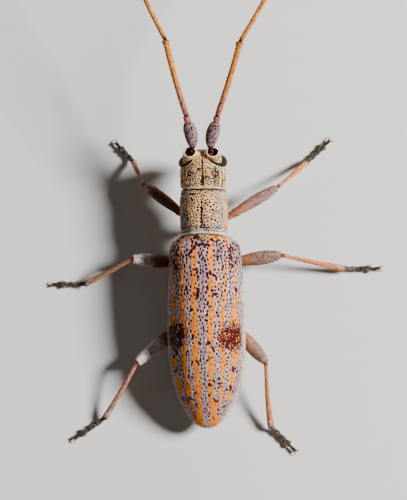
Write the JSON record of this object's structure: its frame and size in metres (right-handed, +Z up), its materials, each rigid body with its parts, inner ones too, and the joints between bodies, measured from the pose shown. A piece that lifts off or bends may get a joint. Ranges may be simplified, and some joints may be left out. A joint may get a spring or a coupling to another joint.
{
  "type": "small mulberry borer beetle",
  "caption": "Life-size longhorn beetle standing on its legs, long feelers held forward, wing cases striped orange and grey.",
  "frame": {"origin": "centre of the bounding box at the level of the soles of the feet", "axes": "+Z up, -Y towards the head, +X to the beetle's left"},
  "size_m": [0.0238, 0.0256, 0.0055],
  "materials": {
    "head_shell": "ochre down over maroon-brown shell, close dark punctures",
    "eye_lens": "glossy black facets",
    "jaw": "dark red-brown, polished",
    "antenna_shell": "orange-brown, satin, with fine short hair",
    "scape_shell": "greyish pink down with dark flecks",
    "pronotum_shell": "yellow-grey down with an orange side stripe and dark punctures",
    "scutellum_down": "dense cream down",
    "elytra_shell": "orange and lilac-grey stripes of down, maroon punctures and blotches",
    "underside": "grey down over dark brown",
    "femur_shell": "greyish pink down with dark flecks",
    "tibia_shell": "orange-brown with grey down",
    "tarsus_shell": "dark brown with yellow pads"
  },
  "bodies": {
    "root": {"abdomen": "underside", "antenna_left_middle": "antenna_shell", "antenna_left_outer": "antenna_shell", "antenna_left_scape": "scape_shell", "antenna_left_third": "antenna_shell", "antenna_left_tip": "antenna_shell", "antenna_right_middle": "antenna_shell", "antenna_right_outer": "antenna_shell", "antenna_right_scape": "scape_shell", "antenna_right_third": "antenna_shell", "antenna_right_tip": "antenna_shell", "coxa_front_left": "underside", "coxa_front_right": "underside", "coxa_hind_left": "underside", "coxa_hind_right": "underside", "coxa_middle_left": "underside", "coxa_middle_right": "underside", "elytron_left": "elytra_shell", "elytron_right": "elytra_shell", "eye_left": "eye_lens", "eye_right": "eye_lens", "femur_front_left": "femur_shell", "femur_front_right": "femur_shell", "femur_hind_left": "femur_shell", "femur_hind_right": "femur_shell", "femur_middle_left": "femur_shell", "femur_middle_right": "femur_shell", "head": "head_shell", "mandible_left": "jaw", "mandible_right": "jaw", "pronotum": "pronotum_shell", "scutellum": "scutellum_down", "tarsus_front_left": "tarsus_shell", "tarsus_front_right": "tarsus_shell", "tarsus_hind_left": "tarsus_shell", "tarsus_hind_right": "tarsus_shell", "tarsus_middle_left": "tarsus_shell", "tarsus_middle_right": "tarsus_shell", "thorax": "underside", "tibia_front_left": "tibia_shell", "tibia_front_right": "tibia_shell", "tibia_hind_left": "tibia_shell", "tibia_hind_right": "tibia_shell", "tibia_middle_left": "tibia_shell", "tibia_middle_right": "tibia_shell"}
  },
  "joints": []
}
